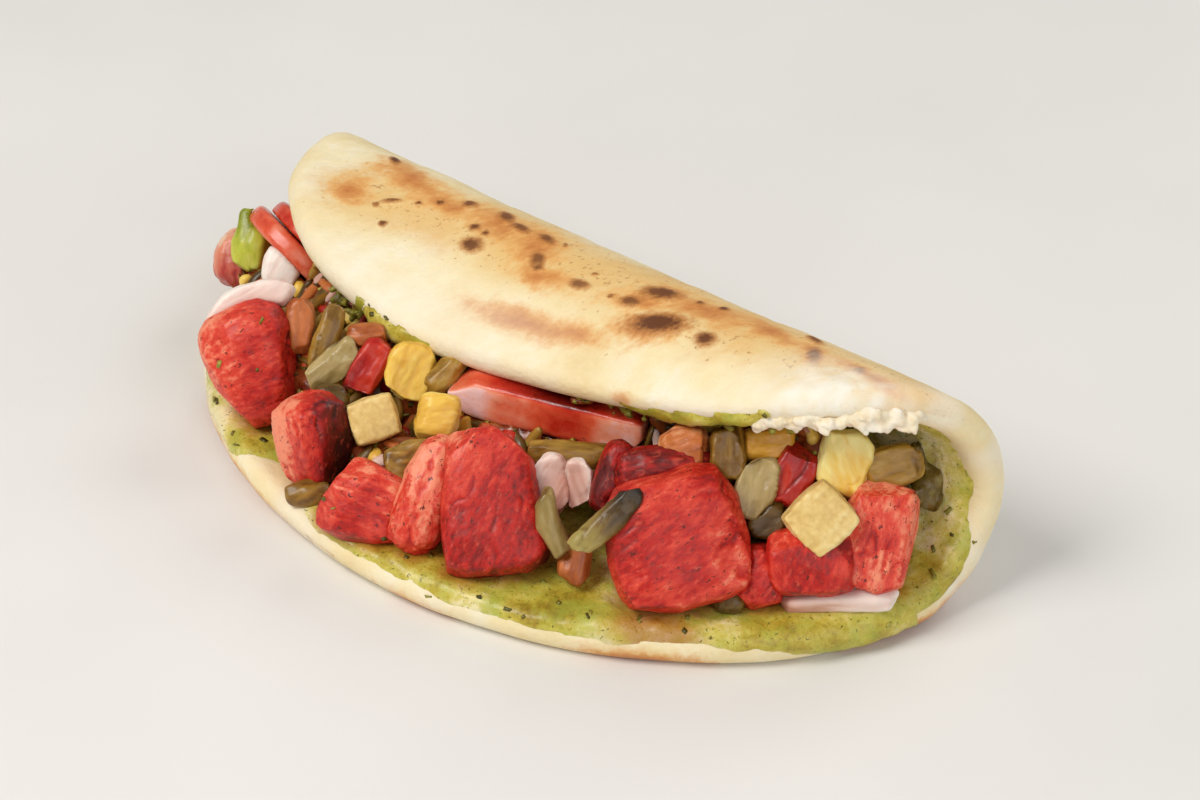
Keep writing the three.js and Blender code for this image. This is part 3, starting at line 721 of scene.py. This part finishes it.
def piece(look, turn, tone, **more):
    """A piece's looks. turn is the direction of its grain in the photo and tone its middle tone.

    Optional: along and across are how the tone runs along and across the grain, blotch how much
    it wanders, facet the direction in the photo of a lighter side and by how much, cup the depth
    of a hollow, cuts the directions and depths of flat cuts, and band marks the tomato's colours
    and a painted shadow on its faces that turn up.
    lumps and ridges take the place of the form's."""
    return dict(look=look, turn=turn, tone=tone, **more)


PIECES = {
    "chicken_left": piece("chicken", 25, 0.62, along=-0.06, across=0.14, facet=(200, 0.12),
        cuts=[(225, 0.12)]),
    "chicken_left_front": piece("chicken", 80, 0.5, across=0.62, facet=(180, 0.1),
        cuts=[(-40, 0.12)]),
    "chicken_front": piece("chicken", -20, 0.62, across=0.16, cuts=[(140, 0.26), (60, 0.12)]),
    "chicken_torn": piece("chicken", 72, 0.8, along=0.12, lumps=1.0, ridges=0.45),
    "chicken_middle": piece("chicken", 62, 0.56, along=0.08, across=0.16, blotch=0.22,
        cuts=[(48, 0.2)]),
    "chicken_big": piece("chicken", 35, 0.56, along=0.06, across=-0.06, blotch=0.2,
        cuts=[(40, 0.08), (150, 0.08)]),
    "chicken_behind": piece("chicken", 10, 0.32),
    "chicken_gap": piece("chicken", 70, 0.3),
    "chicken_right": piece("chicken", 78, 0.76, along=0.04, cuts=[(30, 0.06)]),
    "chicken_right_low": piece("chicken", 80, 0.52),
    "chicken_scrap": piece("chicken", 50, 0.5, along=-0.1),
    "tomato_half_slice": piece("tomato", -11, 0.5, lumps=0.35, ridges=0.1, band=True,
        cuts=[(-48, 0.12), (20, 0.06), (-75, 0.06)]),
    "tomato_slice_outer": piece("tomato", -50, 0.58, lumps=0.25, ridges=0.08),
    "tomato_slice_inner": piece("tomato", -50, 0.4, lumps=0.25, ridges=0.08),
    "red_onion_wedge": piece("red_onion", 80, 0.55, along=0.3),
    "onion_bit_left": piece("onion", 60, 0.85, cuts=[(150, 0.15), (-30, 0.12)]),
    "onion_arc_left": piece("onion", 30, 0.62, across=0.2),
    "onion_petal_left": piece("onion", 60, 0.45, across=0.3, cup=2.2, lumps=1.2,
        cuts=[(-120, 0.28), (-40, 0.16), (140, 0.15)]),
    "onion_petal_right": piece("onion", 110, 0.48, across=-0.3, cup=2.2, lumps=1.2,
        cuts=[(-60, 0.28), (-150, 0.16), (40, 0.15)]),
    "onion_band_right": piece("onion", 5, 0.66, along=0.3, across=0.2),
    "green_pepper_left": piece("lime", 85, 0.5, along=-0.2, lumps=1.0, cuts=[(-140, 0.15)]),
    "pale_pepper_left": piece("pale_green", 60, 0.5, cup=1.3),
    "pale_pepper_right": piece("pale_green", 80, 0.5, cup=1.5, cuts=[(130, 0.15), (-50, 0.1)]),
    "dark_pepper_left": piece("dark_green", 20, 0.5),
    "dark_pepper_right": piece("dark_green", 20, 0.45, cuts=[(-100, 0.15)]),
    "olive_pepper_upright": piece("olive", 88, 0.36, cup=1.4, cuts=[(150, 0.15), (-30, 0.12)]),
    "olive_pepper_middle": piece("olive", -10, 0.48, cup=1.2),
    "olive_strip_middle": piece("olive", 2, 0.52),
    "olive_strip_front": piece("olive", 30, 0.4, cuts=[(110, 0.3), (-70, 0.2), (0, 0.1)]),
    "olive_strip_right": piece("olive", 20, 0.6, cup=1.5, cuts=[(60, 0.15), (-120, 0.15)]),
    "olive_strip_left": piece("olive", 40, 0.62),
    "green_strip_left": piece("pale_green", 105, 0.3, cuts=[(150, 0.3), (-20, 0.25), (-110, 0.1)]),
    "green_strip_right": piece("dark_green", 45, 0.66, along=-0.75, cuts=[(100, 0.2), (-100, 0.2)]),
    "green_scrap": piece("dark_green", 60, 0.5),
    "orange_pepper_left": piece("orange", 85, 0.5, cup=1.0),
    "orange_pepper_right": piece("yellow", 5, 0.3, cup=1.2),
    "cooked_onion_right": piece("orange", 20, 0.62, across=0.15, cup=1.4, cuts=[(130, 0.15)]),
    "onion_stub": piece("orange", 80, 0.42, cuts=[(-130, 0.25), (-40, 0.15)]),
    "brown_strip_left": piece("olive", 70, 0.5),
    "yellow_bit_left": piece("orange", 0, 0.5),
    "yellow_pepper_cube": piece("yellow", 10, 0.58, across=-0.1, cuts=[(-100, 0.1)]),
    "yellow_pepper_left": piece("yellow", 60, 0.6, along=-0.1, cup=1.2,
        cuts=[(-160, 0.14), (20, 0.12), (110, 0.1)]),
    "yellow_pepper_right": piece("yellow", 110, 0.84, along=0.2, cup=1.2,
        cuts=[(30, 0.12), (-140, 0.12)]),
    "red_pepper_left": piece("red_pepper", 60, 0.42, across=-0.12, cup=1.2),
    "red_pepper_right": piece("red_pepper", 65, 0.42, along=-0.15, cup=1.4),
    "pale_cube_left": piece("cube", 15, 0.6, facet=(160, 0.12)),
    "pale_cube_right": piece("cube", 40, 0.62, facet=(-60, 0.1)),
    "leaf_right": piece("leaf", 80, 0.7),
}
# Slots with another name than the piece's look.
SLOTS = {
    "red_onion": "onion", "lime": "green_pepper", "olive": "green_pepper",
    "dark_green": "green_pepper", "pale_green": "pale_pepper", "yellow": "yellow_pepper",
    "cube": "pale_cube", "orange": "orange_pepper",
}
NODE_SLOTS = {
    "green_strip_left": "green_pepper", "orange_pepper_right": "orange_pepper",
    "brown_strip_left": "orange_pepper", "yellow_bit_left": "yellow_pepper",
}

# How a piece is shaped: voxel and rounds of smoothing, growth, random cut faces and their depths,
# lumps, ridges along the grain with their size and stretch, cracks, and how faces differ in tone.
PLAIN_FORM = dict(
    voxel=0.38, round=1, grow=0.7, planes=4, cut=(0.05, 0.24), lumps=0.6, ridges=0.3,
    ridge=1.4, stretch=4.0, cracks=0.25, faced=0.12)
FORMS = {
    "chicken": dict(
        voxel=0.5, grow=1.0, cut=(0.04, 0.16), lumps=0.45, ridges=0.18, ridge=0.9, stretch=3.0,
        cracks=0.4),
    "tomato": dict(
        voxel=0.5, round=9, grow=0.0, planes=0, lumps=0.35, ridges=0.1, ridge=2.0, stretch=2.0,
        cracks=0.0),
    "onion": dict(
        voxel=0.42, round=2, grow=0.4, planes=0, lumps=0.9, ridge=1.5, stretch=9.0, cracks=0.3),
    "red_onion": dict(
        voxel=0.42, round=2, planes=3, cut=(0.03, 0.2), lumps=0.8, ridges=0.4, ridge=1.6,
        stretch=9.0, cracks=0.3),
    "cube": dict(
        voxel=0.42, grow=0.1, planes=0, lumps=0.35, ridges=0.22, ridge=1.1, stretch=1.2,
        cracks=0.0),
    "leaf": dict(
        voxel=0.32, grow=0.1, planes=0, lumps=0.25, ridges=0.1, ridge=1.2, stretch=3.0,
        cracks=0.0),
}


def worked(node, spec, form, seed):
    """A solid's own form, grown and cut: points, faces, its middle, and a number for each face."""
    points, faces = remeshed(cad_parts[node], form["voxel"])
    points = relaxed(points, faces, form["round"])
    middle = (points.min(0) + points.max(0)) / 2
    own = np.zeros(len(points))
    points = points + normals_of(points, faces) * form["grow"]
    for degrees, depth in spec.get("cuts", ()):
        direction = view_frame(degrees)[0]
        reach = (points - middle) @ direction
        points = points - np.outer(np.maximum(reach - reach.max() * (1 - depth), 0), direction)
    if form["planes"]:
        offset, own = chiselled(points - middle, seed + 5, form["planes"], *form["cut"])
        points = relaxed(middle + offset, faces, 1, 0.4)
    return points, faces, middle, own


def make_piece(node, spec, seed):
    """The piece that replaces a solid, with a roughened surface and its tone at each point."""
    form = PLAIN_FORM | FORMS.get(spec["look"], {})
    form |= {key: spec[key] for key in ("lumps", "ridges") if key in spec}
    points, faces, middle, own = worked(node, spec, form, seed)
    normals = normals_of(points, faces)
    local = (points - middle) @ view_frame(spec["turn"]).T
    reach = np.abs(local).max(0)
    along, across = local[:, 0], local[:, 1]
    grain = local / [form["stretch"] * 0.6, 1, 1]

    lumps = noise(local, 8.0, seed, 2)
    ridges = noise(local / [form["stretch"], 1, 1], form["ridge"], seed + 1, 3)
    fine = noise(local, 1.6, seed + 2, 2)
    split = noise(grain, 4.5, seed + 3, 2)
    cracks = hill(split, 0, 0.05) * smooth(0.05, 0.35, noise(local, 9.0, seed + 4))
    shift = form["lumps"] * lumps + form["ridges"] * ridges + 0.4 * form["ridges"] * fine
    shift -= form["cracks"] * cracks
    points = points + normals * shift[:, None]
    points = relaxed(points, faces, 1, 0.35)
    if "cup" in spec:
        hollow = spec["cup"] * smooth(-0.2, 0.5, normals @ VIEW_BACK)
        hollow *= np.clip(1 - (across / reach[1]) ** 2, 0, 1)
        hollow *= np.clip(1.2 - (along / reach[0]) ** 2, 0, 1)
        points = points - VIEW_BACK * hollow[:, None]
    if spec.get("band"):
        ends = smooth(0.74, 1.0, np.abs(along) / reach[0])
        points[:, 2] = middle[2] + (points[:, 2] - middle[2]) * (1 - 0.6 * ends)

    # Lighter on the ridges and darker in the cracks: painted highlight and painted shade.
    tone = spec["tone"] + 0.2 * ridges + spec.get("blotch", 0.14) * lumps
    tone = tone - 0.25 * (form["cracks"] > 0) * cracks + form["faced"] * own
    if spec["look"] == "chicken":
        # Darker towards its lowest point: painted shade where it sits, and char.
        height = points[:, 2] - points[:, 2].min()
        tone -= 0.3 * smooth(DARK_FOOT, 0.5, height)
    tone += spec.get("along", 0) * along / reach[0]
    tone += spec.get("across", 0) * across / reach[1]
    if "facet" in spec:
        degrees, strength = spec["facet"]
        tone += strength * (normals @ view_frame(degrees)[0])
    if spec.get("band"):
        tone = 0.38 + 0.12 * ridges + 0.28 * smooth(0, -10, along)
        tone = tone + 0.34 * smooth(-12, -20, along) + 0.5 * smooth(3, 12, along)
        # The faces that turn up go darker: painted shadow of the flap above.
        tone = tone - 0.3 * smooth(15, 21, along) - 0.45 * smooth(0.3, 0.9, normals[:, 2])
    look = spec["look"]
    made = add_mesh(node + "_piece", points, faces, tone=tone, grain=grain)
    dress(made, LOOKS[look], NODE_SLOTS.get(node, SLOTS.get(look, look)), node)
    return points, faces


# ---- The heap: its own core, with cooked strips and bits lying on it ----

def make_heap():
    """The heap's core under its strips, as wet sauce and soft cooked food."""
    points, faces = remeshed(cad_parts["vegetable_heap"], 0.9)
    points = relaxed(points, faces, 3)
    normals = normals_of(points, faces)
    lumps = noise(points, 7.0, 51, 3)
    ridges = noise(points, 2.2, 52, 2)
    points = points + normals * (0.8 * (lumps - 0.3) + 0.35 * ridges)[:, None]
    tone = 0.42 + 0.35 * lumps + 0.2 * ridges
    made = add_mesh("cooked_filling", points, faces, tone=tone, grain=points)
    dress(made, LOOKS["sauce"], "cooked_filling", "vegetable_heap")
    return points, faces


def bent_strip(random, length, width, height, along=11, around=10):
    """A short cooked strip about its middle, bowed, with soft ends."""
    u = np.linspace(-1, 1, along)
    v = np.linspace(0, 2 * np.pi, around, endpoint=False)
    u, v = np.meshgrid(np.sin(u * np.pi / 2), v, indexing="ij")
    swell = (1 - np.abs(u) ** 5) ** 0.5 * (1 + 0.12 * np.sin(4 * u + random.random() * 6))
    swell = np.maximum(swell, 0.02)
    c, t = np.cos(v), np.sin(v)
    square = (np.abs(c) ** 3 + np.abs(t) ** 3) ** (-1 / 3)
    bow = (random.random() - 0.3) * 0.9
    bend = (random.random() - 0.5) * 1.1
    y = width / 2 * c * square * swell + bend * length * 0.25 * u * u
    z = height / 2 * t * square * swell - bow * length * 0.22 * u * u
    points = np.stack([u * length / 2, y, z], -1).reshape(-1, 3)
    index = np.arange(along * around).reshape(along, around)
    faces = ring_cells(index)[:, [0, 3, 2, 1]]
    ends = []
    for row, order in ((index[0], 1), (index[-1], -1)):
        ring = row[::order]
        ends.extend([ring[0], ring[k], ring[k + 1], ring[k + 2]] for k in range(1, around - 2, 2))
    return points, np.concatenate([faces, np.array(ends)])


# For each kind: name, slot, share of all, and the ranges of length, width and height.
STREWN = {
    "olive": ("cooked_olive_strips", "green_pepper", 0.30, (7, 13), (2.2, 3.6), (1.2, 2.2)),
    "orange": ("cooked_orange_strips", "orange_pepper", 0.22, (6, 11), (2.0, 3.6), (1.2, 2.2)),
    "onion": ("cooked_onion_strips", "onion", 0.12, (7, 12), (1.8, 3.0), (0.8, 1.4)),
    "dark_green": ("cooked_dark_strips", "green_pepper", 0.16, (5, 10), (1.8, 3.2), (1.0, 1.8)),
    "red_pepper": ("cooked_red_bits", "red_pepper", 0.12, (3.5, 7), (2.4, 3.6), (1.6, 2.6)),
    "yellow": ("cooked_yellow_bits", "yellow_pepper", 0.08, (3, 5), (2.2, 3.4), (1.8, 2.8)),
}


def strew(heap, solids):
    """Lays strips and bits over the heap where it faces the opening, clear of the pieces."""
    tree = BVHTree.FromPolygons(solids[0].tolist(), solids[1].tolist())

    def clear(point):
        at, normal, _, gap = tree.find_nearest(Vector(point))
        return gap > STRIP_GAP and (Vector(point) - at).dot(normal) > 0

    points, faces = heap
    normals = normals_of(points, faces)
    random = np.random.default_rng(7)
    facing = np.where(normals @ unit(OPEN_SIDE) > 0.25)[0]
    kinds = list(STREWN)
    odds = np.array([STREWN[kind][2] for kind in kinds])
    stores = {kind: [[], [], [], []] for kind in kinds}
    laid = []
    for _ in range(STRIP_TRIALS):
        at = facing[random.integers(len(facing))]
        kind = kinds[random.choice(len(kinds), p=odds / odds.sum())]
        _, _, _, lengths, widths, heights = STREWN[kind]
        length, width, height = (random.uniform(*pair) for pair in (lengths, widths, heights))
        shape, quads = bent_strip(random, length, width, height)
        axes = tilted_axes(normals[at], 0.25, random)
        centre = points[at] + axes[2] * height * random.uniform(-0.1, 0.35)
        strip = shape @ axes + centre
        if laid and np.linalg.norm(np.array(laid) - centre, axis=1).min() < STRIP_SPACING:
            continue
        if not all(clear(point) for point in strip[::7]):
            continue
        laid.append(centre)
        store = stores[kind]
        offset = sum(len(part) for part in store[0])
        store[0].append(strip)
        store[1].append(quads + offset)
        tone = np.full(len(strip), random.uniform(0.3, 0.7)) + 0.12 * shape[:, 2] / height
        store[2].append(tone)
        store[3].append(shape + random.uniform(0, 400, 3))
    for kind, (places, quads, tones, grains) in stores.items():
        if not places:
            continue
        name, slot = STREWN[kind][:2]
        spread, quads, grain = (np.concatenate(part) for part in (places, quads, grains))
        spread = spread + 0.22 * noise(grain, 2.4, 61)[:, None] * normals_of(spread, quads)
        tone = np.concatenate(tones)
        made = add_mesh(name, spread, quads, tone=tone, grain=grain / [3, 1, 1])
        dress(made, LOOKS[kind], slot)


# ---- Herbs, torn crumb and flecks ----

def lumpy(name, look, centres, radii, voxel, seed):
    """One soft body round many drops, each a ball of 5 rings of 8 points and two poles."""
    down, turn = np.linspace(0, np.pi, 7)[1:-1], np.linspace(0, 2 * np.pi, 9)[:-1]
    u, v = np.meshgrid(down, turn, indexing="ij")
    ball = np.stack([np.sin(u) * np.cos(v), np.sin(u) * np.sin(v), np.cos(u)], -1).reshape(-1, 3)
    ball = np.concatenate([ball, [[0, 0, 1], [0, 0, -1]]])
    index = np.arange(40).reshape(5, 8)
    ahead = np.roll(index, -1, axis=1)
    body = ring_cells(index)
    top = np.stack([index[0], ahead[0], np.full(8, 40)], -1)
    foot = np.stack([ahead[4], index[4], np.full(8, 41)], -1)
    split = np.concatenate([body[:, [0, 1, 2]], body[:, [0, 2, 3]], top, foot])
    points = np.concatenate([ball * r + c for c, r in zip(centres, radii)])
    faces = np.concatenate([split + 42 * k for k in range(len(centres))])
    drops = add_mesh(name + "_drops", points, faces)
    points, faces = remeshed(drops, voxel)
    bpy.data.meshes.remove(drops.data)
    points = relaxed(points, faces, 2)
    normals = normals_of(points, faces)
    lumps = noise(points, 2.2, seed, 3)
    points = points + normals * (0.5 * lumps)[:, None]
    made = add_mesh(name, points, faces, tone=0.55 + 0.4 * lumps, grain=points)
    dress(made, LOOKS[look], None)


# Along the flap's edge: name, x from and to, drops, the ranges of how far in from the edge and
# how far out of the sheet, and the seed.
HERBS = [
    ("herbs_at_edge_left", -48, -14, 110, (-0.9, 3.5), (-5.4, -2.4), 73),
    ("herbs_at_edge_right", 30, 76, 120, (-0.7, 3.5), (-5.6, -3.0), 74),
]


def make_herbs():
    """Chopped herbs that hang under the upper flap's edge."""
    for name, start, end, count, inset, out, seed in HERBS:
        random = np.random.default_rng(seed)
        x = random.uniform(start, end, count)
        s = edge_of_flap(x) - random.uniform(*inset, count)
        centres = folded(x, s, random.uniform(*out, count))
        lumpy(name, "herb", centres, random.uniform(0.4, 1.0, count), 0.42, seed)


def make_crumb():
    """White torn strands of crumb hanging under the upper flap's edge at the right end."""
    random = np.random.default_rng(75)
    centres, radii = [], []
    for _ in range(CRUMB_STRANDS):
        x = random.uniform(CRUMB_FROM, CRUMB_TO)
        s = edge_of_flap(x) - random.uniform(-1.0, 3.5)
        at = folded(np.array([x]), np.array([s]), np.array([random.uniform(-4.6, -0.5)]))[0]
        way = np.array([0.2 + random.normal() * 1.1, -0.3, -0.5 + 0.35 * random.normal()])
        length = random.uniform(0.4, 1.9)
        length *= 0.5 + 0.5 * (x - CRUMB_FROM) / (CRUMB_TO - CRUMB_FROM)
        size = random.uniform(0.8, 1.5)
        for step in np.linspace(0, 1, 5):
            centres.append(at + way * length * step)
            radii.append(size * (1 - 0.45 * step))
    lumpy("torn_crumb", "crumb", centres, radii, 0.34, 75)


def make_flecks(carriers):
    """Chopped herb flecks. Each carrier is points, faces and how many flecks lie on it."""
    random = np.random.default_rng(91)
    places, quads, tones = [], [], []
    box = np.array([[x, y, z] for x in (-1, 1) for y in (-1, 1) for z in (-1, 1)], float)
    sides = np.array([
        [0, 1, 3, 2], [4, 6, 7, 5], [0, 4, 5, 1], [2, 3, 7, 6], [0, 2, 6, 4], [1, 5, 7, 3],
    ])
    for points, faces, share in carriers:
        normals = normals_of(points, faces)
        facing = np.where(normals @ VIEW_BACK > 0.2)[0]
        for at in facing[random.integers(len(facing), size=share)]:
            axes = tilted_axes(normals[at], 0.35, random)
            size = [random.uniform(*pair) for pair in ((0.4, 1.1), (0.3, 0.6), (0.1, 0.2))]
            shape = box * size * random.uniform(0.7, 1.2, (8, 1))
            places.append(shape @ axes + points[at] + 0.1 * axes[2])
            quads.append(sides + 8 * len(quads))
            tones.append(np.full(8, random.uniform(0.2, 0.9)))
    spread = np.concatenate(places)
    quads, tone = np.concatenate(quads), np.concatenate(tones)
    made = add_mesh("herb_flecks", spread, quads, tone=tone, grain=spread)
    dress(made, LOOKS["herb"], None)


# ---- Everything made, in this order ----

bread = make_bread()
heap = make_heap()
# A piece's place in the table sets its seeds.
forms = {}
for number, (node, spec) in enumerate(PIECES.items()):
    forms[node] = make_piece(node, spec, 100 + 10 * number)
chicken = joined([form for node, form in forms.items() if node.startswith("chicken")])
chutney = make_chutney(chicken)
strew(heap, joined([*forms.values(), read_mesh(bread.data)]))
make_herbs()
make_crumb()
make_flecks([
    (*heap, 900), (*read_mesh(chutney.data), 200),
    (*forms["chicken_left"], 3), (*forms["chicken_front"], 3),
])


# ---- Floor, light, camera ----

def make_floor():
    """A plain pale floor."""
    look = Look("pale_floor")
    place = look.tree.nodes.new("ShaderNodeTexCoord").outputs["Object"]
    colour = look.ramp(look.noise(place, 6.0, 3), (0.35, 226, 224, 220), (0.65, 232, 230, 226))
    look.set(Base_Color=colour, Roughness=0.6)
    side = 3000.0
    corners = [(-side, -side, 0), (side, -side, 0), (side, side, 0), (-side, side, 0)]
    floor = add_mesh("floor", corners, [[0, 1, 2, 3]])
    floor.data.materials.append(look.material)


def add_light(name, place, size, power, colour=(1.0, 1.0, 1.0)):
    """A round soft light that faces the food."""
    data = bpy.data.lights.new(name, "AREA")
    data.shape = "DISK"
    data.size = size
    data.energy = power
    data.color = colour
    light = placed(name, data)
    light.location = Vector(place)
    aim = Vector((0, 0, 0.02)) - light.location
    light.rotation_euler = aim.to_track_quat("-Z", "Y").to_euler()


make_floor()
add_light("key", (-0.25, -0.75, 1.0), 0.7, 11.0, (1.0, 0.97, 0.93))
add_light("fill", (0.9, -0.35, 0.55), 0.9, 3.5, (0.97, 0.98, 1.0))
add_light("back", (0.1, 0.9, 0.8), 0.8, 4.0)
world = bpy.data.worlds.new("studio")
world.use_nodes = True
sky = world.node_tree.nodes["Background"]
sky.inputs["Color"].default_value = (1.0, 0.99, 0.97, 1.0)
sky.inputs["Strength"].default_value = 0.28
bpy.context.scene.world = world
bpy.context.scene.view_settings.view_transform = "Standard"

camera_data = bpy.data.cameras.new("photo")
camera_data.lens = LENS
camera_data.sensor_width = SENSOR
camera_data.clip_end = 20.0
camera = placed("photo", camera_data)
turn = np.stack([VIEW_RIGHT, -VIEW_DOWN, VIEW_BACK], 1)
camera.matrix_world = Matrix.Translation(Vector(EYE * MM)) @ Matrix(turn.tolist()).to_4x4()
bpy.context.scene.camera = camera
